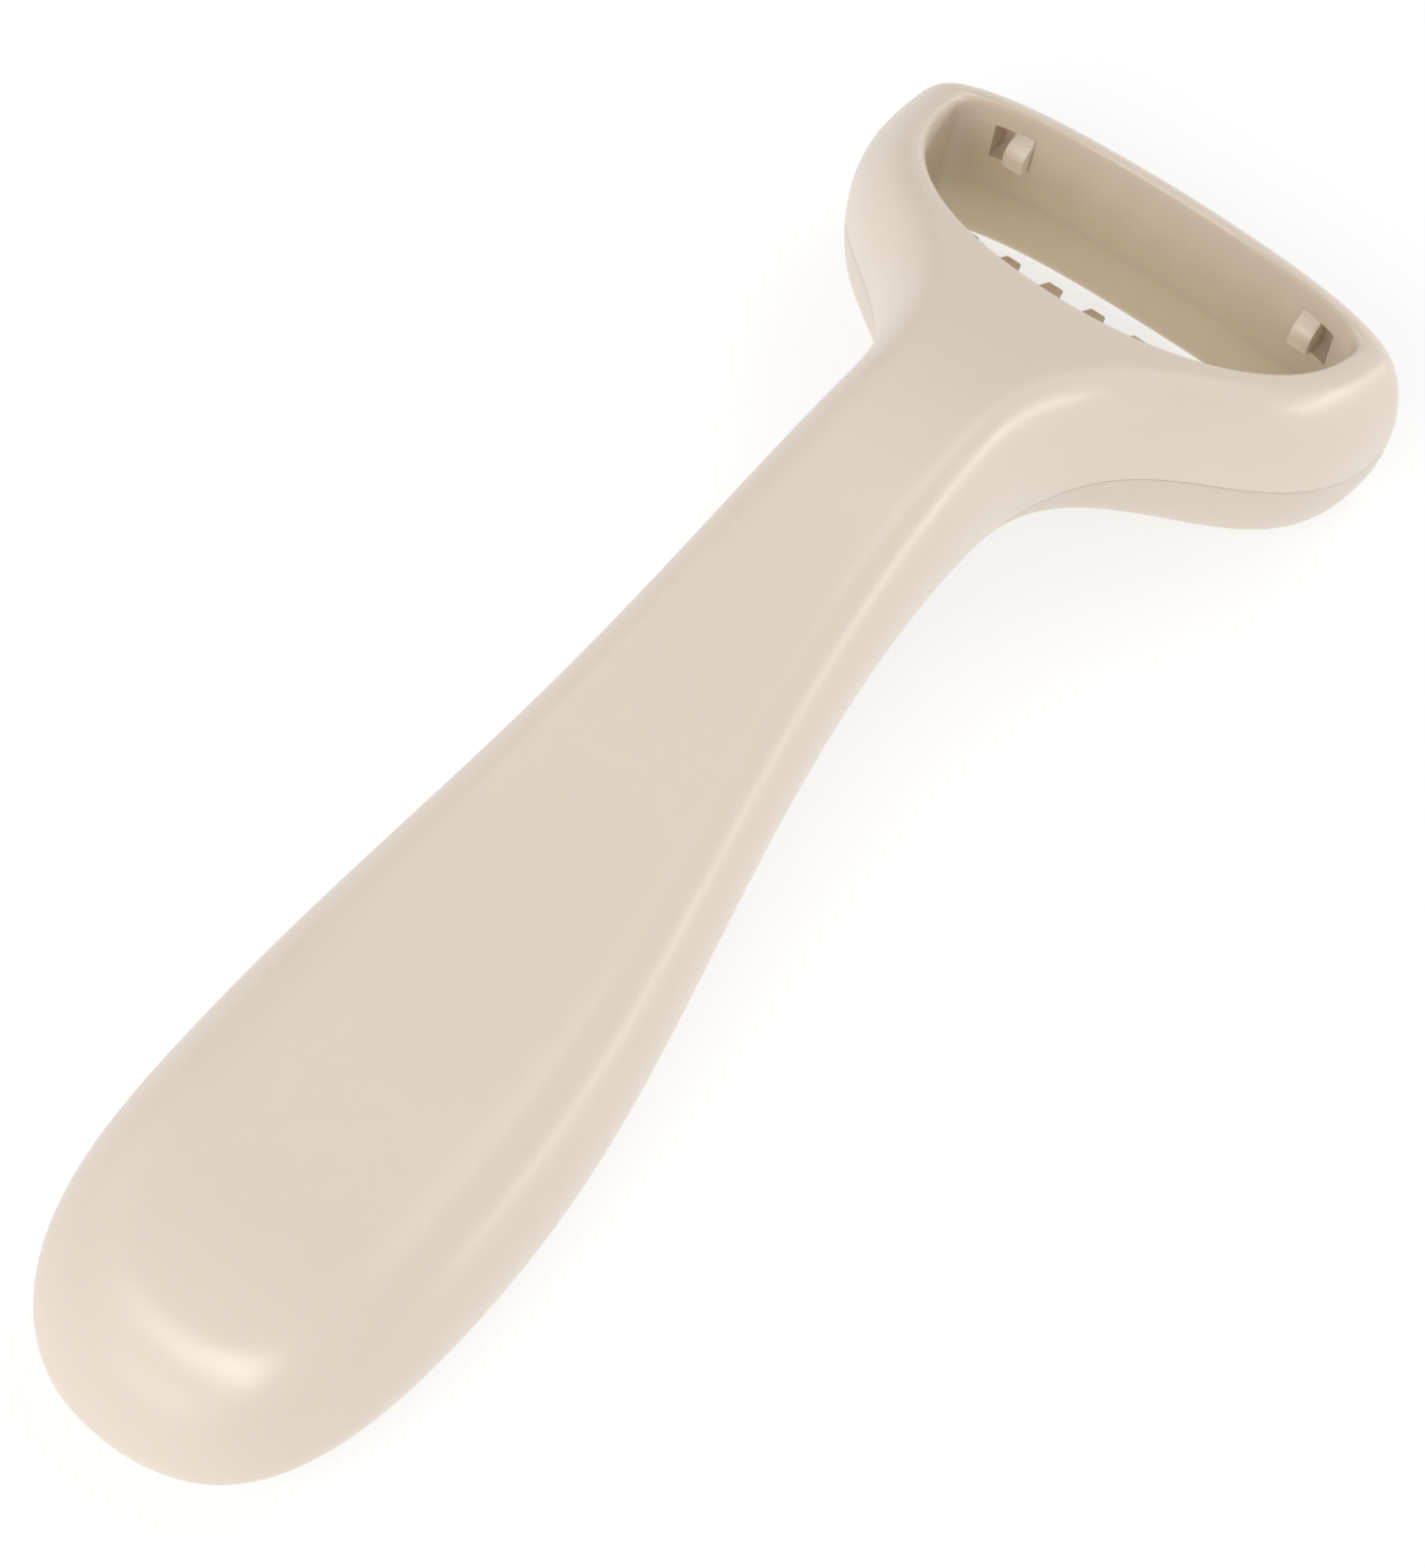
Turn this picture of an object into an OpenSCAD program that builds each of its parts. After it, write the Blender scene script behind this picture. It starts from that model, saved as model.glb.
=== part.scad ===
// Hand tool with a paddle grip, an arched neck and a deep ring head.
// +Y runs from the grip end to the far bar of the head, +Z is up, and the
// tool lies on Z = 0 on the underside of its grip and the edge of its head.

/* [Overall size] */
// Length from the grip end to the outside of the far bar
length = 175; // [150:1:210]
// Width of the ring head
head_w = 60; // [50:1:72]
// Width of the grip at its widest
grip_w = 37; // [31:0.5:45]
// Width of the neck at its narrowest
neck_w = 19; // [16:0.5:23]

/* [Places along the tool] */
// Grip end to the widest place of the grip
grip_at = 31; // [26:1:37]
// Far bar to the narrowest place of the neck
neck_back = 55; // [50:1:60]
// Far bar to the widest place of the head
head_back = 9; // [8:0.5:11]

/* [Side profile] */
// Thickness at the grip end, before its rounding
end_t = 10.9; // [9:0.1:13]
// Thickness of the grip
grip_t = 22; // [18:0.5:26]
// Thickness halfway up the arch
mid_t = 20.3; // [17:0.1:24]
// Thickness of the neck
neck_t = 19.7; // [16:0.1:24]
// Depth of the head at the near edge of the opening
near_t = 22; // [18:0.5:26]
// Depth of the head at the far bar
far_t = 19; // [16:0.5:23]
// Underside of the grip end above the ground
end_low = 1.4; // [0.5:0.1:3]
// Underside of the grip above the ground
grip_low = 0.2; // [0:0.1:1]
// Underside halfway up the arch
mid_low = 9.8; // [7:0.1:12]
// Underside of the neck
neck_low = 18.9; // [14:0.1:23]
// Underside of the head at the near edge of the opening
near_low = 9.8; // [7:0.1:12]
// Underside of the head at the far bar
far_low = 1.4; // [0.5:0.1:3]

/* [Rounded edges] */
// Upper edge radius on the grip
grip_top_r = 8.4; // [7:0.1:10]
// Upper edge radius on the neck
neck_top_r = 4.6; // [4:0.1:6]
// Upper edge radius on the sides of the head
side_top_r = 5.2; // [4:0.1:5.4]
// Upper edge radius on the far bar
far_top_r = 4.3; // [3:0.1:4.5]
// Lower edge radius on the grip
grip_low_r = 8.5; // [7:0.1:10]
// Lower edge radius on the neck
neck_low_r = 3.6; // [3:0.1:5]
// Lower edge radius on the sides of the head
side_low_r = 3.4; // [3:0.1:5]
// Lower edge radius on the far bar
far_low_r = 3.8; // [3:0.1:4.5]

/* [Opening in the head] */
// Material between the opening and each side of the head
side_bar = 6; // [5:0.1:7.5]
// Material between the opening and the outside of the far bar
far_bar = 4.8; // [4.4:0.1:6]
// Reach of the opening from its far edge to its near edge, on the centre line
opening_y = 26.6; // [22:0.2:28]
// Far edge of the opening to its widest place
widest_back = 5.4; // [4.4:0.1:6.6]

/* [Shells] */
// Wall of the two shells
wall = 2; // [1.6:0.1:2.4]
// Height of the joint line on the head, as a share of its depth
seam_head = 0.4; // [0.3:0.05:0.45]
// Height of the joint line on the handle, as a share of its thickness
seam_grip = 0.14; // [0.1:0.02:0.2]
// Radius of each locating peg
peg_r = 2; // [1.6:0.1:2.4]
// Gap between a peg and its socket
peg_gap = 0.1; // [0.05:0.05:0.2]
// Height of each peg above the joint line
peg_h = 5; // [4:0.5:6]
// Outer pegs to the grip's widest place and to the neck's narrowest place
peg_in = 6; // [4:0.5:9]

/* [Clips] */
// Width of each clip finger
finger_w = 2.3; // [1.9:0.1:2.8]
// Height of each clip finger
finger_h = 3.7; // [3:0.1:4.5]
// How far a finger stands out from the wall of the opening
finger_out = 1.7; // [1.4:0.1:2.2]
// Top of each finger below the top of its pocket
finger_drop = 0.9; // [0.5:0.1:1.2]
// Gap between the foot of a finger and the plane of the wall
finger_gap = 0.35; // [0.25:0.05:0.5]
// Width of each pocket
pocket_w = 4.3; // [3.8:0.1:5.2]
// Height of each pocket
pocket_h = 4.8; // [4:0.1:5.8]
// Depth of each pocket in the far bar
pocket_d = 2.2; // [1.8:0.1:2.5]
// Outer edge of each pocket to the side of the opening
pocket_in = 3.5; // [3:0.1:5]
// Top of each pocket to the top of the far bar
pocket_down = 3.1; // [2.5:0.1:3.8]

/* [Toothed plate] */
// Distance between teeth
tooth_pitch = 5.2; // [4.3:0.1:6.3]
// Width of a tooth at its tip
tip_w = 1.8; // [1.5:0.1:2.2]
// Width of a tooth at its root
root_w = 3.8; // [3.2:0.1:4.2]
// Length of a tooth
tooth_l = 4.4; // [3.6:0.1:5.4]
// Thickness of the plate
plate_t = 1.6; // [1.3:0.1:2]
// Gap between the tooth tips and the far edge of the opening
tip_gap = 6; // [5:0.1:9]
// Top of the plate below the joint line
plate_drop = 2.9; // [2.4:0.1:3.5]
// Seat of the plate in the wall around the opening
plate_seat = 1.2; // [1:0.1:1.5]

/* [Hidden] */

beige = [0.87, 0.82, 0.76];
underside = [0.82, 0.76, 0.7];
tan = [0.78, 0.72, 0.63];
// Points along each curve of an outline
steps = 13;
// Clearance around a piece that is pressed into its seat
fit_gap = 0.05;
// Taller than any cut
tall = 100;
// Least rounding of an edge inside the shells
least_r = 0.8;
// Bands between the two edges of each lofted body
upper_bands = 10;
lower_bands = 6;
hollow_bands = 8;
// Sides of a peg, and the foot of its socket above the joint
peg_sides = 24;
socket_lift = 1;

// Places along Y, from the grip end
neck_at = length - neck_back;
head_at = length - head_back;
far_edge = length - far_bar;
near_edge = far_edge - opening_y;
widest_at = far_edge - widest_back;
half_open = head_w / 2 - side_bar;
tips_at = far_edge - tip_gap;

// ---- Plan outline: four curves from the grip end to the far bar ----
function bezier(a, b, c, d, t) =
    pow(1 - t, 3) * a + 3 * pow(1 - t, 2) * t * b + 3 * (1 - t) * t * t * c + pow(t, 3) * d;
function curve(a, b, c, d) = [for (i = [0:steps - 1]) bezier(a, b, c, d, i / steps)];

grip_pt = [grip_w / 2, grip_at];
neck_pt = [neck_w / 2, neck_at];
head_pt = [head_w / 2, head_at];
taper = [0, neck_at - grip_at];
flare = [0, head_at - neck_at];
// Pull of each curve at its two ends, as a share of the half width or of the stretch
end_pull = [0.87, 0.57];
taper_pull = [0.38, 0.51];
flare_pull = [0.54, 0.57];
far_pull = [0.8, 0.64];
outline = concat(
    curve([0, 0], [end_pull[0] * grip_pt.x, 0], grip_pt - [0, end_pull[1] * grip_at], grip_pt),
    curve(grip_pt, grip_pt + taper_pull[0] * taper, neck_pt - taper_pull[1] * taper, neck_pt),
    curve(neck_pt, neck_pt + flare_pull[0] * flare, head_pt - flare_pull[1] * flare, head_pt),
    curve(head_pt, head_pt + [0, far_pull[0] * head_back], [far_pull[1] * head_pt.x, length],
        [0, length]),
    [[0, length]]
);
last = len(outline) - 1;
function along(i) =
    i == 0 ? [1, 0] : i == last ? [-1, 0] : outline[i + 1] - outline[i - 1];
outward = [for (i = [0:last]) let (t = along(i)) [t.y, -t.x] / norm(t)];

// ---- Side profile: one smooth polynomial through the six stations ----
stations = [0, grip_at, (grip_at + neck_at) / 2, neck_at, near_edge, length];
low_z = [end_low, grip_low, mid_low, neck_low, near_low, far_low];
thick = [end_t, grip_t, mid_t, neck_t, near_t, far_t];
function basis(y, i, j = 0) =
    j == len(stations) ? 1 :
    (j == i ? 1 : (y - stations[j]) / (stations[i] - stations[j])) * basis(y, i, j + 1);
function weights(y) = [for (i = [0:len(stations) - 1]) basis(y, i)];
function low_at(y) = low_z * weights(y);
function thick_at(y) = thick * weights(y);

// ---- Skin of the body, wall deep inside its outer surface ----
// angle runs from -90 on the underside, through 0 at the widest, to 90 on top
function zone(i, values) =
    let (u = i / steps, k = min(floor(u), 3)) values[k] + (u - k) * (values[k + 1] - values[k]);
top_r = [grip_top_r, grip_top_r, neck_top_r, side_top_r, far_top_r];
low_r = [grip_low_r, grip_low_r, neck_low_r, side_low_r, far_low_r];
function skin(i, angle, depth) =
    let (
        r = max(zone(i, angle > 0 ? top_r : low_r) - depth, least_r),
        p = outline[i] - (depth + r * (1 - cos(angle))) * outward[i],
        z = low_at(p.y) + depth + (thick_at(p.y) - 2 * depth) * (1 + sin(angle)) / 2
    )
    [i == 0 || i == last ? 0 : p.x, p.y, z];

// Angle of the joint line: low on the handle, higher on the head
function blend(t) = let (s = min(max(t, 0), 1)) s * s * (3 - 2 * s);
function seam_share(y) =
    seam_grip + (seam_head - seam_grip) * blend((y - neck_at) / (near_edge - neck_at));
function seam_angle(i) = asin(2 * seam_share(outline[i].y) - 1);

ground = min([for (i = [0:last]) skin(i, -90, 0).z]);

// A closed body between two sets of angles, one angle for each outline point
module lofted(from, to, rings, depth) {
    round = 2 * last;
    halves = [for (k = [0:rings]) [for (i = [0:last])
        skin(i, from[i] + (to[i] - from[i]) * k / rings, depth)]];
    points = [for (h = halves) each concat(h,
        [for (i = [last - 1:-1:1]) [-h[i].x, h[i].y, h[i].z]])];
    function left(i) = i == 0 || i == last ? i : round - i;
    function ladder(base) = [for (i = [0:last - 1]) each [
        if (i < last - 1) [base + i, base + i + 1, base + left(i + 1)],
        if (i > 0) [base + i, base + left(i + 1), base + left(i)]]];
    sides = [for (k = [0:rings - 1]) for (i = [0:round - 1])
        let (a = k * round + i, b = k * round + (i + 1) % round)
        each [[a, a + round, b], [b, a + round, b + round]]];
    floor_faces = ladder(0);
    roof_faces = [for (f = ladder(rings * round)) [f[2], f[1], f[0]]];
    polyhedron(points, concat(sides, floor_faces, roof_faces));
}
all_low = [for (i = [0:last]) -90];
all_high = [for (i = [0:last]) 90];
all_seam = [for (i = [0:last]) seam_angle(i)];

// Moves a piece from the grip end to the middle of the tool, and onto the ground
module placed() {
    translate([0, -length / 2, -ground]) children();
}

// Fuses its children into one skin
module one_skin() {
    resize([0, 0, 0]) children();
}

// ---- Opening: a D with a curved near edge and a nearly straight far edge ----
widest_pt = [half_open, widest_at];
near_pull = [0.76, 0.4];
back_pull = [0.6, 0.85];
near_half = concat(
    curve([0, near_edge], [near_pull[0] * half_open, near_edge],
        widest_pt - [0, near_pull[1] * (widest_at - near_edge)], widest_pt),
    [widest_pt]
);
far_half = concat(
    curve(widest_pt, widest_pt + [0, back_pull[0] * widest_back],
        [back_pull[1] * half_open, far_edge], [0, far_edge]),
    [[0, far_edge]]
);
right_half = concat(near_half, [for (i = [1:steps]) far_half[i]]);
function mirrored(pts) = [for (i = [len(pts) - 2:-1:1]) [-pts[i].x, pts[i].y]];
opening_pts = concat(right_half, mirrored(right_half));
function far_wall_at(x) = lookup(x, [for (i = [steps:-1:0]) far_half[i]]);

module opening(grow = 0) {
    linear_extrude(height = tall) offset(delta = grow) polygon(opening_pts);
}

// Hollow of the handle, which stops at the wall of the opening
module hollow() {
    difference() {
        lofted(all_low, all_high, hollow_bands, wall);
        translate([0, 0, -tall / 2]) opening(wall);
        translate([-head_w, widest_at - wall, -tall / 2]) cube([2 * head_w, tall, tall]);
    }
}

// ---- Locating pegs between the shells ----
peg_places = [grip_at - peg_in, (grip_at + neck_at) / 2, neck_at - peg_in];
function seam_z(y) = low_at(y) + seam_share(y) * thick_at(y);
function roof_z(y) = low_at(y) + thick_at(y) - wall;
module peg(y) {
    base = low_at(y) + wall / 2;
    translate([0, y, base])
        cylinder(h = seam_z(y) + peg_h - base, r = peg_r, $fn = peg_sides);
}
module socket(y) {
    floor_z = max(seam_z(y), low_at(y) + wall);
    base = floor_z + socket_lift;
    bore_r = peg_r + peg_gap;
    difference() {
        translate([0, y, base])
            cylinder(h = roof_z(y) + wall / 2 - base, r = bore_r + wall / 2, $fn = peg_sides);
        translate([0, y, floor_z])
            cylinder(h = seam_z(y) + peg_h + peg_gap - floor_z, r = bore_r, $fn = peg_sides);
    }
}

// ---- Toothed plate: flat, under the joint line of the head and sloping with it ----
plate_slope = atan((seam_z(tips_at) - seam_z(near_edge)) / (tips_at - near_edge));
plate_z = seam_z(near_edge) - plate_drop;
function chord_at(y) = lookup(y, [for (p = near_half) [p.y, p.x]]);
root_at = tips_at - tooth_l * cos(plate_slope);
tooth_pairs = floor((chord_at(root_at) - root_w / 2) / tooth_pitch + 0.5);
function run(y) = (y - near_edge) / cos(plate_slope);
module plate_plan(grow) {
    offset(delta = grow) {
        intersection() {
            offset(delta = plate_seat) polygon([for (p = opening_pts) [p.x, run(p.y)]]);
            translate([-head_w, run(near_edge) - tall]) square([2 * head_w, tall + run(root_at)]);
        }
    }
}
module teeth() {
    for (k = [-tooth_pairs:tooth_pairs - 1]) {
        x = (k + 0.5) * tooth_pitch;
        r = run(root_at);
        polygon([[x - root_w / 2, r - fit_gap], [x - tip_w / 2, r + tooth_l],
            [x + tip_w / 2, r + tooth_l], [x + root_w / 2, r - fit_gap]]);
    }
}
module plate_body(grow, with_teeth) {
    translate([0, near_edge, plate_z]) rotate([plate_slope, 0, 0])
        translate([0, 0, -plate_t - grow]) linear_extrude(height = plate_t + 2 * grow) {
            plate_plan(grow);
            if (with_teeth) teeth();
        }
}

// ---- Clips: a finger that stands out of a pocket in the far wall ----
pocket_right = half_open - pocket_in;
pocket_left = pocket_right - pocket_w;
finger_x = pocket_left + fit_gap;
wall_y = far_wall_at(pocket_left + finger_w / 2);
pocket_top = low_at(wall_y) + thick_at(wall_y) - pocket_down;
module pocket() {
    translate([pocket_left, wall_y - wall, pocket_top - pocket_h])
        cube([pocket_w, wall + pocket_d, pocket_h]);
}
module clip() {
    root_top = pocket_top - fit_gap;
    root_low = pocket_top - pocket_h + fit_gap;
    top = pocket_top - finger_drop;
    low = top - finger_h;
    front = wall_y - finger_out;
    back = wall_y + pocket_d - fit_gap;
    top_bend = finger_out;
    low_bend = finger_out - finger_gap;
    translate([finger_x + finger_w, 0, 0]) rotate([0, -90, 0]) linear_extrude(height = finger_w)
        polygon(concat(
            [[root_low, back], [root_top, back], [root_top, wall_y]],
            [for (a = [0:15:90]) [top - top_bend + top_bend * cos(a),
                wall_y - top_bend * sin(a)]],
            [for (a = [0:15:90]) [low + low_bend - low_bend * sin(a),
                wall_y - finger_gap - low_bend * cos(a)]],
            [[root_low, wall_y - finger_gap]]
        ));
}

module upper_shell() {
    color(beige) placed() one_skin() {
        difference() {
            lofted(all_seam, all_high, upper_bands, 0);
            hollow();
            translate([0, 0, -tall / 2]) opening();
            pocket();
            mirror([1, 0, 0]) pocket();
        }
        for (y = peg_places) socket(y);
    }
}

module lower_shell() {
    color(underside) placed() one_skin() {
        difference() {
            lofted(all_low, all_seam, lower_bands, 0);
            hollow();
            translate([0, 0, -tall / 2]) opening();
            plate_body(fit_gap, false);
        }
        for (y = peg_places) peg(y);
    }
}

module tooth_plate() {
    color(tan) placed() one_skin() plate_body(0, true);
}

module left_clip() {
    color(beige) placed() mirror([1, 0, 0]) clip();
}

module right_clip() {
    color(beige) placed() clip();
}

upper_shell();
lower_shell();
tooth_plate();
left_clip();
right_clip();
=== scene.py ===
import math

import bmesh
import bpy
import numpy as np
from mathutils import Matrix, Vector


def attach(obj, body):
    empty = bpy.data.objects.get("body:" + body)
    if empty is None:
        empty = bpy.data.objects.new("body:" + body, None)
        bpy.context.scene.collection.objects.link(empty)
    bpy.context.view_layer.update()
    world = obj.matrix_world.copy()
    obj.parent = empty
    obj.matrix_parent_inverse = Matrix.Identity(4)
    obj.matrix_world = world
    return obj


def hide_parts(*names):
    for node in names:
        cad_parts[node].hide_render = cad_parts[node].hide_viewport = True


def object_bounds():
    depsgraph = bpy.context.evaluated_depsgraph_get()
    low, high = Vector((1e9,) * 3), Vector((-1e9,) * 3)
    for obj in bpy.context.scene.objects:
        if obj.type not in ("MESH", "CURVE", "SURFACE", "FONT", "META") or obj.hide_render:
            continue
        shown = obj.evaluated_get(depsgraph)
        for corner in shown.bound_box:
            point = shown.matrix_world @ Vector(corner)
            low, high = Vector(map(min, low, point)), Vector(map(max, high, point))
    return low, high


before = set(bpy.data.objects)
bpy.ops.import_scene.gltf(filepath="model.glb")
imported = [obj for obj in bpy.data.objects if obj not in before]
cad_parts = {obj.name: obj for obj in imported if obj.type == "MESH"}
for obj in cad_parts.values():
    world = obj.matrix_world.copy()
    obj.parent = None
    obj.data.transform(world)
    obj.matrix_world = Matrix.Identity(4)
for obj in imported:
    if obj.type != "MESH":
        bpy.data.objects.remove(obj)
cad_box = [list(corner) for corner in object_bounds()]

# ---------------------------------------------------------------- sizes, in millimetres
# The tool lies along +Y with its grip end nearest, and lengths along it count from the grip end.
# MM is one of these millimetres in the frame's metres.
MM = 0.001
LENGTH = round((cad_box[1][1] - cad_box[0][1]) / MM, 1)
HEAD_W = round((cad_box[1][0] - cad_box[0][0]) / MM, 1)
GRIP_W, GRIP_AT = 37, 31
NECK_W, NECK_AT = 19, LENGTH - 55
HEAD_BACK = 9
HEAD_AT = LENGTH - HEAD_BACK

SIDE_BAR, FAR_BAR = 6, 4.8
OPENING_Y, WIDEST_BACK = 26.6, 5.4
FAR_EDGE = LENGTH - FAR_BAR
NEAR_EDGE = FAR_EDGE - OPENING_Y
HALF_OPEN = HEAD_W / 2 - SIDE_BAR
WIDEST_AT = FAR_EDGE - WIDEST_BACK

# Underside height and thickness at six stations along the tool
STATIONS = [0, GRIP_AT, (GRIP_AT + NECK_AT) / 2, NECK_AT, NEAR_EDGE, LENGTH]
LOW_Z = [1.4, 0.2, 9.8, 18.9, 9.8, 1.4]
THICK = [10.9, 22, 20.3, 19.7, 22, 19]

# Edge radii at the grip end, the grip, the neck, the side of the head and the far bar
TOP_R = [8.4, 8.4, 4.6, 5.2, 4.3]
LOW_R = [8.5, 8.5, 3.6, 3.4, 3.8]
# Height of the joint line on the head and on the grip, as a share of the thickness
SEAM_HEAD, SEAM_GRIP = 0.4, 0.14
# Width of the joint line, and the rounding of its two lips
SEAM_GAP, LIP_R = 0.02, 0.12
# Rounding of the opening's rim at its near edge, its widest place and its far edge, and the largest
# share of a bar that it takes
RIM_ROUND = [0.9, 1.2, 1.6]
RIM_SHARE = 0.8

POCKET_W, POCKET_H, POCKET_D = 4.3, 4.8, 2.2
POCKET_IN, POCKET_DOWN = 3.5, 3.1
FINGER_W, FINGER_H, FINGER_OUT = 2.3, 3.7, 1.7
FINGER_DROP, FINGER_GAP = 0.9, 0.35
# Clearance of a finger's root in its pocket
FIT_GAP = 0.05
TOOTH_PITCH, TIP_W, ROOT_W, TOOTH_L = 5.2, 1.8, 3.8, 4.4
PLATE_T, PLATE_DROP, PLATE_SEAT, TIP_GAP = 1.6, 2.9, 1.2, 6

# ---------------------------------------------------------------- mesh density
# Points on each curve where it is searched, and on the seat of the toothed plate
DENSE = 4001
SEAT_POINTS = 60
# Quads along and across the patches of the right half
HANDLE_COLUMNS = 150
HEAD_COLUMNS = 110
DECK_STEPS = 8
RING_ROWS = 8
ROUND_ROWS = 30
LIP_ROWS = 4
RIM_ROWS = 6
POCKET_ROWS = 3
# Rows of the opening's wall below, beside and above the pockets
WALL_ROWS = [3, 6, 4]
# How far behind its widest place the middle of the opening is, and how far before the opening the
# handle's columns end
CENTRE_BACK, SPLIT_BACK = 3, 6
# Ring columns this close to the side of a pocket, in degrees, give way to the one at its side
COLUMN_CLEAR = 0.6
# The wall's rows are level with the pockets from this far before them
LEVEL_BACK = 1.5
# Points this close are merged and edges this short are removed, in metres
MERGE_DIST, SHORTEST_EDGE = 2e-7, 1e-7
# Edges sharper than this, in degrees, aren't shaded smooth
SHARP_ANGLE = 40
# Bevels: width in millimetres, segments, and the least angle of an edge that is bevelled
PLATE_BEVEL = (0.22, 3, 25)
CLIP_BEVEL = (0.32, 4, 25)
# The curved seat of the plate ends this far before the roots of its teeth
SEAT_CLEAR = 0.2

# ---------------------------------------------------------------- painted shade in the opening: a darker, warmer tan deeper down
# It starts this far below the top and is full this much deeper
SHADE_FROM, SHADE_DEPTH = 0.8, 12
# Points this near the rim's line or a pocket's box belong to them
WALL_REACH, POCKET_REACH = 0.4, 0.1
# The rim's line is thinned to every eighth point
RIM_STRIDE = 8
# Share of the painted shade that the pockets get
POCKET_SHADE = 0.35


# ---------------------------------------------------------------- the shape's formulas
class Chain:
    """A chain of cubic curves in the plane, at 0 to the number of curves along it."""

    def __init__(self, *curves):
        self.curves = np.array(curves, float)

    def at(self, u):
        """Points and the unit normals on the right-hand side of the direction of travel."""
        k = np.minimum(np.asarray(u).astype(int), len(self.curves) - 1)
        t = (np.asarray(u) - k)[:, None]
        a, b, c, d = (self.curves[k, i] for i in range(4))
        s = 1 - t
        point = s**3 * a + 3 * s * s * t * b + 3 * s * t * t * c + t**3 * d
        along = s * s * (b - a) + 2 * s * t * (c - b) + t * t * (d - c)
        along /= np.linalg.norm(along, axis=1)[:, None]
        return point, np.stack([along[:, 1], -along[:, 0]], 1)


grip_pt = np.array([GRIP_W / 2, GRIP_AT])
neck_pt = np.array([NECK_W / 2, NECK_AT])
head_pt = np.array([HEAD_W / 2, HEAD_AT])
taper = np.array([0, NECK_AT - GRIP_AT])
flare = np.array([0, HEAD_AT - NECK_AT])
# The inner points of each curve are set by shares of the span that it covers
OUTLINE = Chain(
    [(0, 0), (0.87 * grip_pt[0], 0), grip_pt - (0, 0.57 * GRIP_AT), grip_pt],
    [grip_pt, grip_pt + 0.38 * taper, neck_pt - 0.51 * taper, neck_pt],
    [neck_pt, neck_pt + 0.54 * flare, head_pt - 0.57 * flare, head_pt],
    [head_pt, head_pt + (0, 0.8 * HEAD_BACK), (0.64 * head_pt[0], LENGTH), (0, LENGTH)],
)
widest_pt = np.array([HALF_OPEN, WIDEST_AT])
widening = np.array([0, WIDEST_AT - NEAR_EDGE])
RIM = Chain(
    [(0, NEAR_EDGE), (0.76 * HALF_OPEN, NEAR_EDGE), widest_pt - 0.4 * widening, widest_pt],
    [widest_pt, widest_pt + (0, 0.6 * WIDEST_BACK), (0.85 * HALF_OPEN, FAR_EDGE), (0, FAR_EDGE)],
)
# The ends of the outline's curves, where the edge radii are given
ZONES = np.arange(len(TOP_R))
low_at = np.poly1d(np.polyfit(STATIONS, LOW_Z, 5))
thick_at = np.poly1d(np.polyfit(STATIONS, THICK, 5))


def seam_angle(u):
    """Angle of the joint line: low on the handle, higher on the head."""
    y = OUTLINE.at(u)[0][:, 1]
    s = np.clip((y - NECK_AT) / (NEAR_EDGE - NECK_AT), 0, 1)
    share = SEAM_GRIP + (SEAM_HEAD - SEAM_GRIP) * s * s * (3 - 2 * s)
    return np.arcsin(2 * share - 1)


def skin(u, angle, depth=0.0):
    """Points of the body's surface. The angle is -pi/2 underneath, 0 at the widest and pi/2 on top.
    depth moves them in from the outline."""
    p, n = OUTLINE.at(u)
    r = np.where(angle > 0, np.interp(u, ZONES, TOP_R), np.interp(u, ZONES, LOW_R))
    p = p - (depth + r * (1 - np.cos(angle)))[:, None] * n
    z = low_at(p[:, 1]) + thick_at(p[:, 1]) * (1 + np.sin(angle)) / 2
    return np.column_stack([np.maximum(p[:, 0], 0), p[:, 1], z])


DENSE_U = np.linspace(0, len(OUTLINE.curves), DENSE)
DENSE_V = np.linspace(0, len(RIM.curves), DENSE)
QUARTER = np.full_like(DENSE_U, math.pi / 2)
GROUND = skin(DENSE_U, -QUARTER)[:, 2].min()


def top_z(y):
    """Height of the top at a place along the tool."""
    return low_at(y) + thick_at(y)


seam_line = skin(DENSE_U, seam_angle(DENSE_U))
seam_line = seam_line[np.argsort(seam_line[:, 1])]


def seam_z(y):
    """Height of the joint surface at a place along the tool."""
    return np.interp(y, seam_line[:, 1], seam_line[:, 2])


# ---------------------------------------------------------------- mesh helpers
def placed(points):
    """From the shape's millimetres to the frame's metres."""
    return (np.asarray(points, float) - [0, LENGTH / 2, GROUND]) * MM


class Patches:
    """Grids of quads for the right half and its mirror image, joined into one closed mesh."""

    def __init__(self):
        self.bm = bmesh.new()

    def grid(self, rows, skip=()):
        """rows is an array of points, row by column. skip holds the (row, column) quads left out."""
        rows = placed(rows)
        for side in (1, -1):
            verts = [[self.bm.verts.new((side * x, y, z)) for x, y, z in row] for row in rows]
            for i in range(len(rows) - 1):
                for j in range(len(rows[0]) - 1):
                    if (i, j) not in skip:
                        quad = [verts[i][j], verts[i][j + 1], verts[i + 1][j + 1], verts[i + 1][j]]
                        self.bm.faces.new(quad[::side])

    def joined(self, name):
        bmesh.ops.remove_doubles(self.bm, verts=self.bm.verts, dist=MERGE_DIST)
        bmesh.ops.dissolve_degenerate(self.bm, edges=self.bm.edges, dist=SHORTEST_EDGE)
        bmesh.ops.recalc_face_normals(self.bm, faces=self.bm.faces)
        return finished(self.bm, name)


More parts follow.
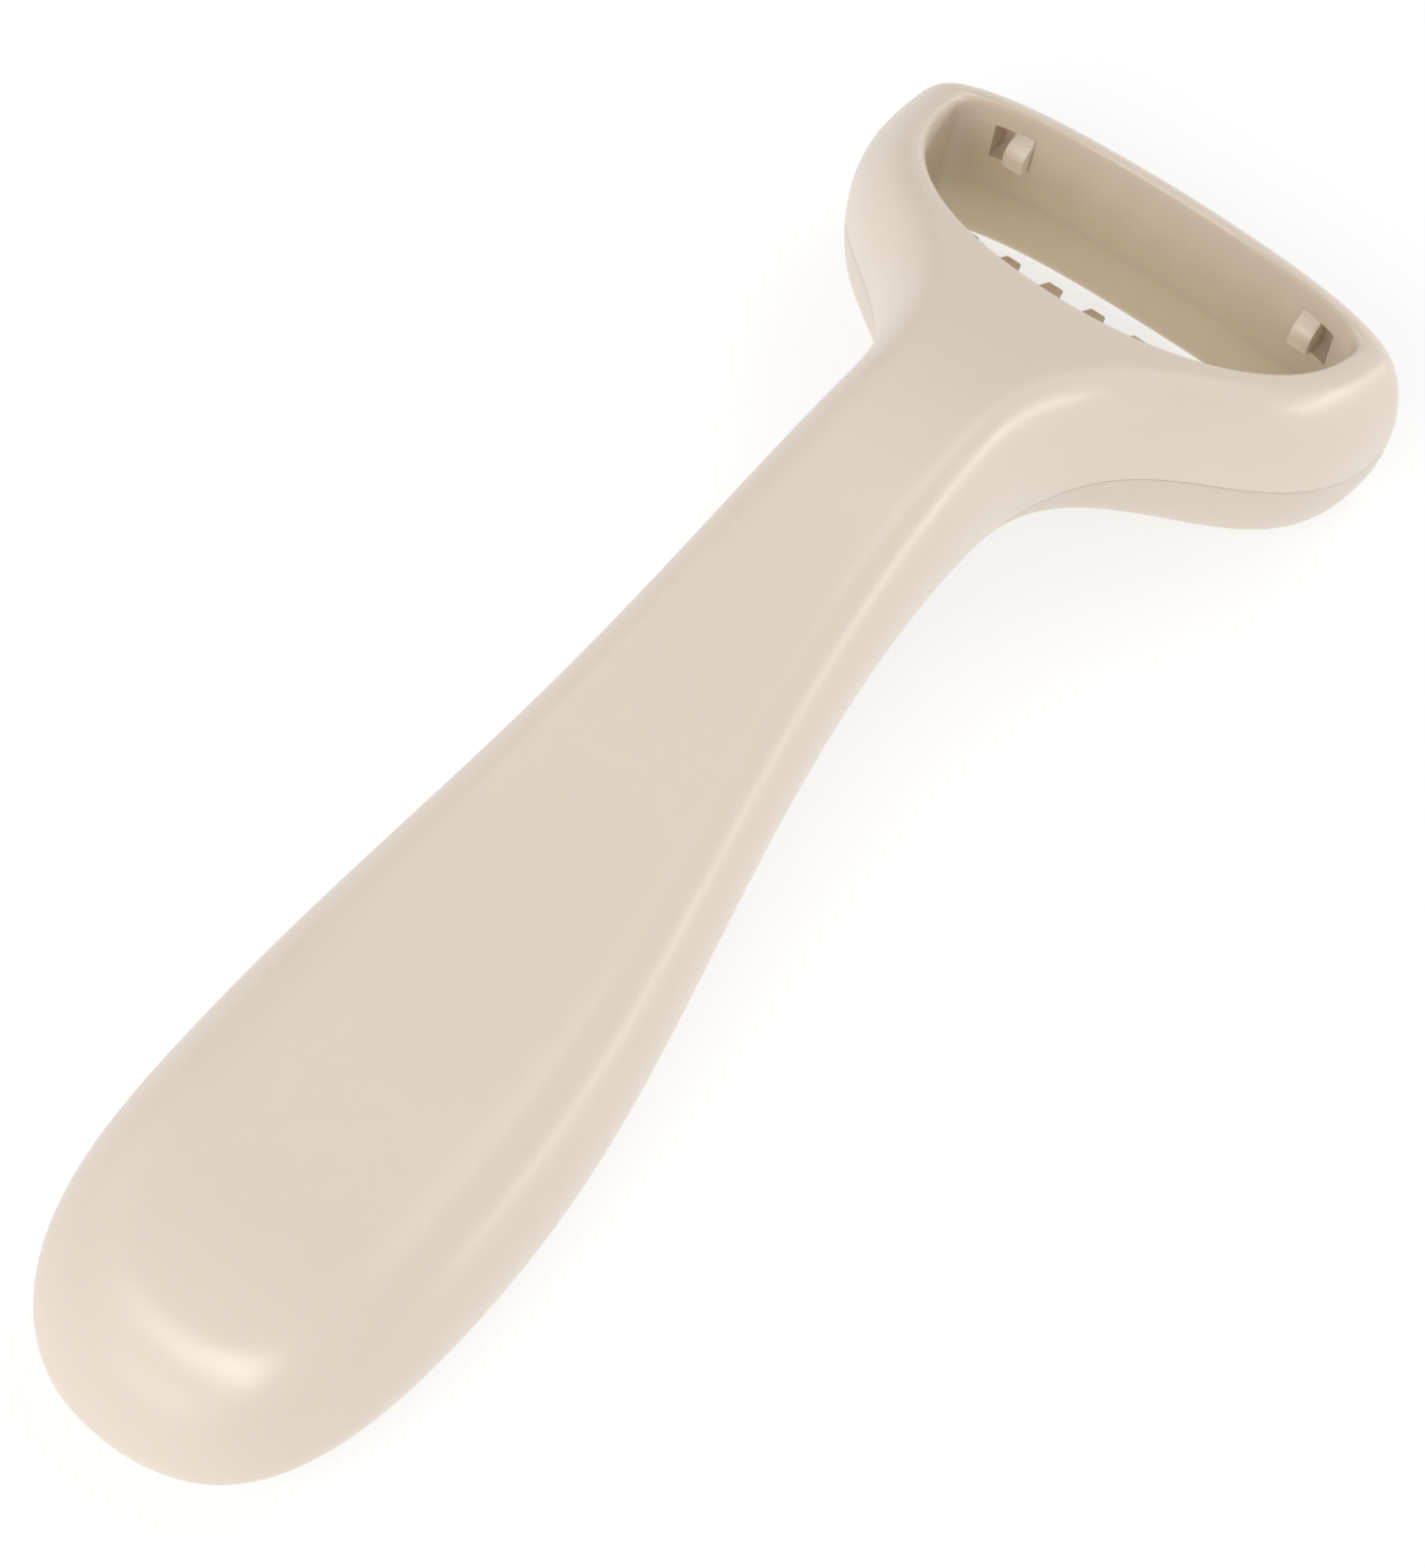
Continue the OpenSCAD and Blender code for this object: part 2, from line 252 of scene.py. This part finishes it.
def finished(bm, name, bevel=None):
    """A smooth-shaded object. bevel is (width, segments, least angle), in millimetres and degrees."""
    mesh = bpy.data.meshes.new(name)
    bm.to_mesh(mesh)
    bm.free()
    obj = bpy.data.objects.new(name, mesh)
    bpy.context.scene.collection.objects.link(obj)
    if bevel:
        width, segments, angle = bevel
        mod = obj.modifiers.new("edges", "BEVEL")
        mod.width = width * MM
        mod.segments = segments
        mod.limit_method = "ANGLE"
        mod.angle_limit = math.radians(angle)
        mod.harden_normals = False
        mod.use_clamp_overlap = True
        depsgraph = bpy.context.evaluated_depsgraph_get()
        obj.data = bpy.data.meshes.new_from_object(obj.evaluated_get(depsgraph))
        obj.data.name = name
        obj.modifiers.clear()
    obj.data.shade_smooth()
    obj.data.set_sharp_from_angle(angle=math.radians(SHARP_ANGLE))
    return obj


# ---------------------------------------------------------------- columns shared by both shells
POCKET_RIGHT = HALF_OPEN - POCKET_IN
POCKET_LEFT = POCKET_RIGHT - POCKET_W
CENTRE_Y = WIDEST_AT - CENTRE_BACK
SPLIT_Y = NEAR_EDGE - SPLIT_BACK


def ray_angle(xy):
    """Direction of a point as seen from the middle of the opening."""
    return np.arctan2(xy[:, 1] - CENTRE_Y, xy[:, 0])


def spread(points, count):
    """count + 1 indices of dense points, evenly spaced along them."""
    run = np.concatenate([[0], np.cumsum(np.linalg.norm(np.diff(points, axis=0), axis=1))])
    return np.interp(np.linspace(0, run[-1], count + 1), run, np.arange(len(points)))


top_edge = skin(DENSE_U, QUARTER)[:, :2]
rim_pts, _ = RIM.at(DENSE_V)
rim_rays = ray_angle(rim_pts)
split = np.searchsorted(top_edge[:, 1], SPLIT_Y)
SPLIT_U = DENSE_U[split]
flank = OUTLINE.at(DENSE_U)[0]

# Handle columns, evenly spaced along the outline up to the split
HANDLE_U = np.interp(spread(flank[: split + 1], HANDLE_COLUMNS), np.arange(split + 1), DENSE_U[: split + 1])

# Ring columns: straight across the neck first, then round the head to the far bar
far_x = rim_pts[:, 0][DENSE_V >= 1][::-1]
far_v = DENSE_V[DENSE_V >= 1][::-1]
POCKET_V = np.interp([POCKET_LEFT, POCKET_RIGHT], far_x, far_v)
pocket_rays = np.interp(POCKET_V, DENSE_V, rim_rays)
across = np.linspace(0, 1, DECK_STEPS + 1)
across_rays = ray_angle(across[:, None] * top_edge[split] * (1, 0) + top_edge[split] * (0, 1))
head_u = DENSE_U[split:]
ring_rays = ray_angle(top_edge[split:])
round_u = np.interp(spread(flank[split:], HEAD_COLUMNS), np.arange(len(head_u)), head_u)
round_rays = np.interp(round_u, head_u, ring_rays)[1:]
near_pocket = np.abs(round_rays[:, None] - pocket_rays).min(1) < math.radians(COLUMN_CLEAR)
round_rays = np.sort(np.concatenate([round_rays[~near_pocket], pocket_rays]))
round_rays[-1] = math.pi / 2
RING_U = np.concatenate([[SPLIT_U], np.interp(round_rays, ring_rays, head_u)])
RING_V = np.interp(np.concatenate([across_rays, round_rays]), rim_rays, DENSE_V)
RIM_R = np.interp(RING_V, range(len(RIM_ROUND)), RIM_ROUND)
POCKET_COLUMNS = [int(np.abs(RING_V - v).argmin()) for v in POCKET_V]
SKIN_U = np.concatenate([HANDLE_U, RING_U[1:]])

# The far wall at the middle of a finger, and the top of its pocket
wall_y = float(np.interp(POCKET_LEFT + FINGER_W / 2, far_x, rim_pts[:, 1][DENSE_V >= 1][::-1]))
POCKET_TOP = float(top_z(wall_y)) - POCKET_DOWN


def deck(patches, edge, height, reach, rise=0.0):
    """The surface inside an edge line: across the handle, then round the opening. reach is how far it
    stays outside the rim of the opening, for each ring column, and rise lifts its inner line."""
    edge_xy = edge(HANDLE_U)[:, :2]
    cross = across[:, None, None] * edge_xy * (1, 0) + edge_xy * (0, 1)
    patches.grid(np.dstack([cross, height(cross[..., 1])]))
    corner = edge_xy[-1]
    start = np.concatenate([across[:, None] * corner * (1, 0) + corner * (0, 1), edge(RING_U[1:])[:, :2]])
    rim, normal = RIM.at(RING_V)
    end = rim + reach[:, None] * normal
    t = np.linspace(0, 1, RING_ROWS + 1)[:, None, None]
    ring = start + t * (end - start)
    patches.grid(np.dstack([ring, height(ring[..., 1]) + rise * t[..., 0]]))


def rim_reach(edge):
    """Width of the rounding at the rim, kept inside the bar that it rounds."""
    start = np.concatenate([np.tile(edge(RING_U[:1])[0, :2], (DECK_STEPS, 1)), edge(RING_U)[:, :2]])
    rim, _ = RIM.at(RING_V)
    room = np.linalg.norm(start - rim, axis=1)
    return np.minimum(RIM_R, RIM_SHARE * room)


def rim_rounding(patches, reach, height, drop):
    """A quarter round from the deck down into the opening. drop is its signed height."""
    rim, normal = RIM.at(RING_V)
    rows = []
    for a in np.linspace(0, math.pi / 2, RIM_ROWS + 1):
        xy = rim + (reach * (1 - math.sin(a)))[:, None] * normal
        rows.append(np.column_stack([xy, height(xy[:, 1]) - drop * (1 - math.cos(a))]))
    patches.grid(np.array(rows))
    return rows[-1]


# ---------------------------------------------------------------- the two shells
def upper_edge(u):
    return skin(u, np.full_like(u, math.pi / 2))


def lower_edge(u):
    return skin(u, np.full_like(u, -math.pi / 2))


def flank_rows(side):
    """Rows from the joint to the top (side 1) or the underside (side -1), with a rounded lip at the
    joint."""
    start = seam_angle(SKIN_U)
    slope = thick_at(OUTLINE.at(SKIN_U)[0][:, 1]) * np.cos(start) / 2
    rows = []
    for a in np.linspace(0, math.pi / 2, LIP_ROWS + 1):
        lift = SEAM_GAP / 2 + LIP_R * (1 - math.cos(a))
        rows.append(skin(SKIN_U, start + side * lift / slope, LIP_R * (1 - math.sin(a))))
    lip = start + side * (SEAM_GAP / 2 + LIP_R) / slope
    for t in np.linspace(0, 1, ROUND_ROWS + 1)[1:]:
        rows.append(skin(SKIN_U, lip + t * (side * math.pi / 2 - lip)))
    return np.array(rows)


def seam_edge(side):
    """The inner end of a shell's lip at the joint, as a line round the body."""

    def edge(u):
        start = seam_angle(u)
        slope = thick_at(OUTLINE.at(u)[0][:, 1]) * np.cos(start) / 2
        return skin(u, start + side * SEAM_GAP / 2 / slope, LIP_R)

    return edge


def shell(name, side):
    """side 1 is the upper shell and side -1 the lower one. Each is closed, down to the joint."""
    patches = Patches()
    edge = upper_edge if side > 0 else lower_edge
    height = top_z if side > 0 else low_at
    patches.grid(flank_rows(side))
    reach = rim_reach(edge)
    deck(patches, edge, height, reach)
    rim_line = rim_rounding(patches, reach, height, side * RIM_R)

    joint = seam_edge(side)
    joint_line = joint(DENSE_U)
    joint_line = joint_line[np.argsort(joint_line[:, 1])]

    def joint_z(y):
        return np.interp(y, joint_line[:, 1], joint_line[:, 2])

    # The two shells meet without a gap at the wall of the opening
    rise = -side * SEAM_GAP / 2
    deck(patches, joint, joint_z, np.zeros_like(RING_V), rise=rise)
    rim, _ = RIM.at(RING_V)
    foot = np.column_stack([rim, joint_z(rim[:, 1]) + rise])
    if side > 0:
        wall_with_pockets(patches, foot, rim_line)
    else:
        t = np.linspace(0, 1, RING_ROWS + 1)[:, None, None]
        patches.grid(foot + t * (rim_line - foot))
    obj = patches.joined(name)
    mark_painted_shade(obj)
    return obj


def wall_with_pockets(patches, foot, rim_line):
    """Inner wall of the opening, with a pocket near each end of its far side."""
    level_from = wall_y - LEVEL_BACK
    rise = seam_z(np.minimum(foot[:, 1], level_from)) - seam_z(level_from)
    levels = [foot[:, 2], POCKET_TOP - POCKET_H + rise, POCKET_TOP + rise, rim_line[:, 2]]
    heights = [foot[:, 2]]
    for low, high, count in zip(levels[:-1], levels[1:], WALL_ROWS):
        heights += [low + (high - low) * k / count for k in range(1, count + 1)]
    rows = np.array([np.column_stack([foot[:, :2], z]) for z in heights])
    first, last = sorted(POCKET_COLUMNS)
    lowest, highest = WALL_ROWS[0], WALL_ROWS[0] + WALL_ROWS[1]
    skip = {(i, j) for i in range(lowest, highest) for j in range(first, last)}
    patches.grid(rows, skip)
    mouth = rows[lowest : highest + 1, first : last + 1]
    back = mouth.copy()
    back[..., 1] = wall_y + POCKET_D
    depth = np.linspace(0, 1, POCKET_ROWS + 1)[:, None, None]
    patches.grid(back)
    for front_line, back_line in (
        (mouth[0], back[0]),
        (mouth[-1], back[-1]),
        (mouth[:, 0], back[:, 0]),
        (mouth[:, -1], back[:, -1]),
    ):
        patches.grid(front_line + depth * (back_line - front_line))


def mark_painted_shade(obj):
    """Stores how deep each point lies inside the opening, from 0 at the rim to 1 low on the wall: the
    weight of the painted shade there.
    """
    points = np.array([v.co for v in obj.data.vertices]) / MM + [0, LENGTH / 2, GROUND]
    line = rim_pts[::RIM_STRIDE]
    away = np.full(len(points), LENGTH)
    for i in np.flatnonzero(points[:, 1] > NEAR_EDGE - WALL_REACH):
        away[i] = np.hypot(line[:, 0] - abs(points[i, 0]), line[:, 1] - points[i, 1]).min()
    sideways = np.abs(np.abs(points[:, 0]) - (POCKET_LEFT + POCKET_RIGHT) / 2)
    inward = np.abs(points[:, 1] - wall_y - POCKET_D / 2)
    in_pocket = (sideways < POCKET_W / 2 + POCKET_REACH) & (inward < POCKET_D / 2 + POCKET_REACH)
    # Painted shade: it grows with depth below the top, fully on the wall and weaker in the pockets
    below = np.clip((top_z(points[:, 1]) - points[:, 2] - SHADE_FROM) / SHADE_DEPTH, 0, 1)
    painted_shade = np.where(away < WALL_REACH, below, np.where(in_pocket, POCKET_SHADE * below, 0))
    layer = obj.data.attributes.new("inside", "FLOAT", "POINT")
    layer.data.foreach_set("value", painted_shade.astype(np.float32))


# ---------------------------------------------------------------- toothed plate and clips
def prism(name, outline, axes, origin, thickness, bevel):
    """A flat outline swept along the third axis, with all its edges rounded."""
    bm = bmesh.new()
    u, v, w = (np.array(a, float) for a in axes)
    flat = np.array([origin + p[0] * u + p[1] * v for p in outline])
    rings = [[bm.verts.new(p) for p in placed(flat + t * w)] for t in (0, thickness)]
    bm.faces.new(rings[0])
    bm.faces.new(rings[1][::-1])
    for i in range(len(outline)):
        j = (i + 1) % len(outline)
        bm.faces.new([rings[0][j], rings[0][i], rings[1][i], rings[1][j]])
    bmesh.ops.recalc_face_normals(bm, faces=bm.faces)
    return finished(bm, name, bevel)


def tooth_plate():
    """A plate under the near side of the opening, with blunt teeth that point at the far bar."""
    tips_at = FAR_EDGE - TIP_GAP
    slope = math.atan2(float(seam_z(tips_at) - seam_z(NEAR_EDGE)), tips_at - NEAR_EDGE)
    root = (tips_at - NEAR_EDGE) / math.cos(slope) - TOOTH_L
    pts, normal = RIM.at(np.linspace(0, 1, SEAT_POINTS))
    seat = pts + PLATE_SEAT * normal
    seat[:, 1] = (seat[:, 1] - NEAR_EDGE) / math.cos(slope)
    half_width = float(np.interp(root, seat[:, 1], seat[:, 0]))
    seat = seat[seat[:, 1] < root - SEAT_CLEAR]
    inner_half = float(np.interp(root, (pts[:, 1] - NEAR_EDGE) / math.cos(slope), pts[:, 0]))
    pairs = int((inner_half - ROOT_W / 2) / TOOTH_PITCH + 0.5)
    right = [tuple(p) for p in seat] + [(half_width, root)]
    teeth = []
    for k in range(pairs - 1, -pairs - 1, -1):
        x = (k + 0.5) * TOOTH_PITCH
        teeth += [(x + ROOT_W / 2, root), (x + TIP_W / 2, root + TOOTH_L)]
        teeth += [(x - TIP_W / 2, root + TOOTH_L), (x - ROOT_W / 2, root)]
    outline = right + teeth + [(-x, y) for x, y in right[:0:-1]]
    along = (0, math.cos(slope), math.sin(slope))
    up = (0, -math.sin(slope), math.cos(slope))
    origin = np.array([0, NEAR_EDGE, float(seam_z(NEAR_EDGE)) - PLATE_DROP]) - PLATE_T * np.array(up)
    return prism("toothed_plate", outline, ((1, 0, 0), along, up), origin, PLATE_T, PLATE_BEVEL)


def clip(name, side):
    """A finger that stands out of its pocket and hangs in front of the wall below it."""
    root_top, root_low = POCKET_TOP - FIT_GAP, POCKET_TOP - POCKET_H + FIT_GAP
    top = POCKET_TOP - FINGER_DROP
    low = top - FINGER_H
    back = wall_y + POCKET_D - FIT_GAP
    bend = FINGER_OUT - FINGER_GAP
    turns = np.radians(np.arange(0, 91, 10))
    outline = [(back, root_low), (back, root_top), (wall_y, root_top)]
    outline += [(wall_y - FINGER_OUT * math.sin(a), top - FINGER_OUT * (1 - math.cos(a))) for a in turns]
    outline += [(wall_y - FINGER_GAP - bend * math.cos(a), low + bend * (1 - math.sin(a))) for a in turns]
    outline += [(wall_y - FINGER_GAP, root_low)]
    inner = POCKET_LEFT + FIT_GAP
    left = inner if side > 0 else -inner - FINGER_W
    origin = np.array([left, 0, 0])
    return prism(name, outline, ((0, 1, 0), (0, 0, 1), (1, 0, 0)), origin, FINGER_W, CLIP_BEVEL)


# ---------------------------------------------------------------- moulded plastic
# Waves per metre of the colour's clouds, the sheen, the broad unevenness and the fine grain
CLOUDS, SHEEN, WAVES, GRAIN = 28, 160, 70, 5200
# Painted shade: the darker, warmer tan that the wall takes deep in the opening
PAINTED_SHADE_TAN = (0.66, 0.55, 0.38)


def plastic(name, colour, deeper, roughness=0.31, inner=None):
    """Satin moulded plastic: faint flow clouding, a fine spark-eroded grain and a soft sheen.
    inner is the painted shade inside the opening, a darker, warmer tan for the shade and warm bounce light
    deep down."""
    mat = bpy.data.materials.new(name)
    mat.use_nodes = True
    nodes, links = mat.node_tree.nodes, mat.node_tree.links
    shader = nodes["Principled BSDF"]
    coords = nodes.new("ShaderNodeTexCoord").outputs["Object"]

    def noise(scale, detail):
        node = nodes.new("ShaderNodeTexNoise")
        node.inputs["Scale"].default_value = scale
        node.inputs["Detail"].default_value = detail
        links.new(coords, node.inputs["Vector"])
        return node.outputs["Fac"]

    def ramp(source, low, high):
        """Spreads the middle of a noise's range from low to high."""
        node = nodes.new("ShaderNodeMapRange")
        node.inputs["From Min"].default_value = 0.3
        node.inputs["From Max"].default_value = 0.7
        node.inputs["To Min"].default_value = low
        node.inputs["To Max"].default_value = high
        links.new(source, node.inputs["Value"])
        return node.outputs["Result"]

    def bump(scale, detail, strength, depth):
        node = nodes.new("ShaderNodeBump")
        node.inputs["Strength"].default_value = strength
        node.inputs["Distance"].default_value = depth * MM
        links.new(noise(scale, detail), node.inputs["Height"])
        return node

    def blend(factor, first, second):
        node = nodes.new("ShaderNodeMix")
        node.data_type = "RGBA"
        for socket, value in (("A", first), ("B", second)):
            if isinstance(value, tuple):
                node.inputs[socket].default_value = (*value, 1)
            else:
                links.new(value, node.inputs[socket])
        links.new(factor, node.inputs["Factor"])
        return node.outputs["Result"]

    tint = blend(ramp(noise(CLOUDS, 3), 0, 1), colour, deeper)
    # Painted shade: the colour turns to the darker tan deeper in the opening
    if inner:
        inside = nodes.new("ShaderNodeAttribute")
        inside.attribute_name = "inside"
        tint = blend(inside.outputs["Fac"], tint, inner)
    links.new(tint, shader.inputs["Base Color"])
    links.new(ramp(noise(SHEEN, 4), roughness - 0.02, roughness + 0.02), shader.inputs["Roughness"])
    shader.inputs["IOR"].default_value = 1.5
    shader.inputs["Subsurface Weight"].default_value = 0.2
    shader.inputs["Subsurface Radius"].default_value = (1.0, 0.9, 0.65)
    shader.inputs["Subsurface Scale"].default_value = 2 * MM

    fine = bump(GRAIN, 2, strength=0.012, depth=0.06)
    broad = bump(WAVES, 1, strength=0.06, depth=0.12)
    links.new(fine.outputs["Normal"], broad.inputs["Normal"])
    links.new(broad.outputs["Normal"], shader.inputs["Normal"])
    return mat


def add_piece(obj, material, node):
    """Gives a piece its material and puts it in place of a CAD node."""
    obj.data.materials.clear()
    obj.data.materials.append(material)
    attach(obj, "root")
    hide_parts(node)


shell_plastic = plastic("beige_plastic", (0.79, 0.685, 0.575), (0.78, 0.675, 0.565), inner=PAINTED_SHADE_TAN)
# The lower shell's darker beige is painted shade for the underside, which gets less light
shaded_lower_plastic = plastic("shaded_lower_beige_plastic", (0.72, 0.62, 0.515), (0.71, 0.61, 0.505), inner=PAINTED_SHADE_TAN)
# The plate's darker tan is painted shade for the plate that lies under the near rim
shaded_plate_plastic = plastic("shaded_plate_plastic", (0.66, 0.55, 0.43), (0.64, 0.53, 0.41), roughness=0.4)
clip_plastic = plastic("clip_plastic", (0.9, 0.8, 0.67), (0.89, 0.79, 0.66), roughness=0.34)

add_piece(shell("upper_body", 1), shell_plastic, "upper_shell")
add_piece(shell("lower_body", -1), shaded_lower_plastic, "lower_shell")
add_piece(tooth_plate(), shaded_plate_plastic, "tooth_plate")
add_piece(clip("left_finger", -1), clip_plastic, "left_clip")
add_piece(clip("right_finger", 1), clip_plastic, "right_clip")


# ---------------------------------------------------------------- floor, light and camera
def floor():
    """A white floor that also glows, as a light table does, so the object casts hardly any shadow."""
    bm = bmesh.new()
    bmesh.ops.create_grid(bm, x_segments=4, y_segments=4, size=3)
    obj = finished(bm, "floor")
    mat = bpy.data.materials.new("floor_white")
    mat.use_nodes = True
    shader = mat.node_tree.nodes["Principled BSDF"]
    shader.inputs["Base Color"].default_value = (0.38, 0.38, 0.38, 1)
    shader.inputs["Roughness"].default_value = 0.9
    shader.inputs["Specular IOR Level"].default_value = 0.1
    shader.inputs["Emission Color"].default_value = (1, 1, 1, 1)
    shader.inputs["Emission Strength"].default_value = 0.68
    obj.data.materials.append(mat)


def soft_light(name, place, aim, size, power):
    """A rectangular lamp, in metres and watts."""
    data = bpy.data.lights.new(name, "AREA")
    data.shape = "RECTANGLE"
    data.size, data.size_y = size
    data.energy = power
    lamp = bpy.data.objects.new(name, data)
    bpy.context.scene.collection.objects.link(lamp)
    lamp.location = place
    direction = Vector(aim) - Vector(place)
    lamp.rotation_euler = direction.to_track_quat("-Z", "Y").to_euler()


def camera(azimuth, elevation, roll, distance, target, shift_x, shift_y, lens):
    """A camera round the target, turned by roll and slid by a little in its own plane, in millimetres."""
    a, e, r = (math.radians(x) for x in (azimuth, elevation, roll))
    back = Vector((math.sin(a) * math.cos(e), -math.cos(a) * math.cos(e), math.sin(e)))
    right = Vector((math.cos(a), math.sin(a), 0))
    up = back.cross(right)
    turned = right * math.cos(r) + up * math.sin(r)
    upward = up * math.cos(r) - right * math.sin(r)
    place = Vector(target) + turned * shift_x + upward * shift_y + back * distance
    data = bpy.data.cameras.new("camera")
    data.sensor_fit = "HORIZONTAL"
    data.sensor_width = 36
    data.lens = lens
    data.clip_start = 0.01
    cam = bpy.data.objects.new("camera", data)
    bpy.context.scene.collection.objects.link(cam)
    cam.matrix_world = Matrix.Translation(place * MM) @ Matrix((turned, upward, back)).transposed().to_4x4()
    bpy.context.scene.camera = cam


floor()
world = bpy.data.worlds.new("studio")
bpy.context.scene.world = world
world.use_nodes = True
world.node_tree.nodes["Background"].inputs["Color"].default_value = (1, 1, 1, 1)
world.node_tree.nodes["Background"].inputs["Strength"].default_value = 0.38
soft_light("overhead", (0.12, 0.45, 0.82), (0, 0, 0), (0.7, 0.7), 2.6)
soft_light("key", (0.0, -0.64, 0.6), (0, 0.05, 0.02), (0.45, 0.3), 3.0)
soft_light("front", (-0.15, -0.9, 0.22), (0, 0, 0.02), (0.3, 0.16), 0.6)
soft_light("back_right", (0.73, 0.61, 0.06), (0, 0, 0.02), (0.7, 0.08), 2.0)
soft_light("left", (-0.8, -0.1, 0.5), (0, 0, 0.02), (0.5, 0.8), 0.6)
bpy.context.scene.view_settings.view_transform = "Standard"
camera(
    azimuth=24.55,
    elevation=55.34,
    roll=12.98,
    distance=579.7,
    target=(0, 95 - LENGTH / 2, 8),
    shift_x=-1.92,
    shift_y=-3.45,
    lens=153.5,
)
